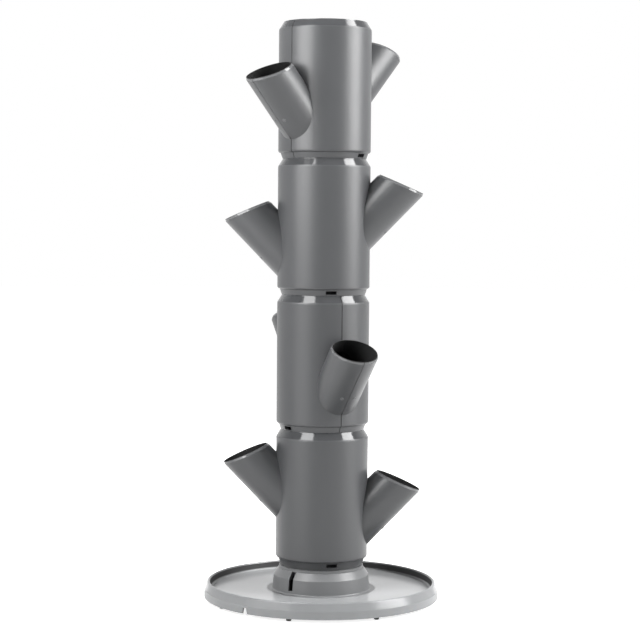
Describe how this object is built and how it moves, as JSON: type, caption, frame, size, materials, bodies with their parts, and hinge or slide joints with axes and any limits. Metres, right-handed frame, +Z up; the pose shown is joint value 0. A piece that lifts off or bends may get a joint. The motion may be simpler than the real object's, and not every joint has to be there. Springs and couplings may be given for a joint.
{
  "type": "vertical planter tower",
  "caption": "Stacking planting tower: round clip-together tiers with slanted side spouts, turning on each other above a drip saucer with a socket collar and small feet.",
  "frame": {"origin": "on the floor under the middle of the column, at the level of the feet", "axes": "+Z up along the column, -Y towards the viewer of the picture, +X to the viewer's right"},
  "size_m": [0.408, 0.408, 1.001],
  "materials": {
    "shell_plastic": "fine satin grain, glossy bevels",
    "saucer_plastic": "satin grain",
    "grid_plastic": "satin",
    "foot_rubber": "matt"
  },
  "bodies": {
    "base": {"saucer": "saucer_plastic", "drain_grid": "grid_plastic", "foot_1": "foot_rubber", "foot_2": "foot_rubber", "foot_3": "foot_rubber", "foot_4": "foot_rubber", "foot_5": "foot_rubber", "foot_6": "foot_rubber", "foot_7": "foot_rubber", "foot_8": "foot_rubber"},
    "tier_1": {"tier_1_left_half": "shell_plastic", "tier_1_right_half": "shell_plastic"},
    "tier_2": {"tier_2_left_half": "shell_plastic", "tier_2_right_half": "shell_plastic"},
    "tier_3": {"tier_3_left_half": "shell_plastic", "tier_3_right_half": "shell_plastic"},
    "tier_4": {"tier_4_left_half": "shell_plastic", "tier_4_right_half": "shell_plastic"}
  },
  "joints": [
    {"name": "tier_1_swivel", "type": "hinge", "parent": "base", "child": "tier_1", "pos_m": [0, 0, 0.0653], "axis": [0, 0, 1], "continuous": true},
    {"name": "tier_2_swivel", "type": "hinge", "parent": "tier_1", "child": "tier_2", "pos_m": [0, 0, 0.2993], "axis": [0, 0, 1], "continuous": true},
    {"name": "tier_3_swivel", "type": "hinge", "parent": "tier_2", "child": "tier_3", "pos_m": [0, 0, 0.5333], "axis": [0, 0, 1], "continuous": true},
    {"name": "tier_4_swivel", "type": "hinge", "parent": "tier_3", "child": "tier_4", "pos_m": [0, 0, 0.7673], "axis": [0, 0, 1], "continuous": true}
  ]
}
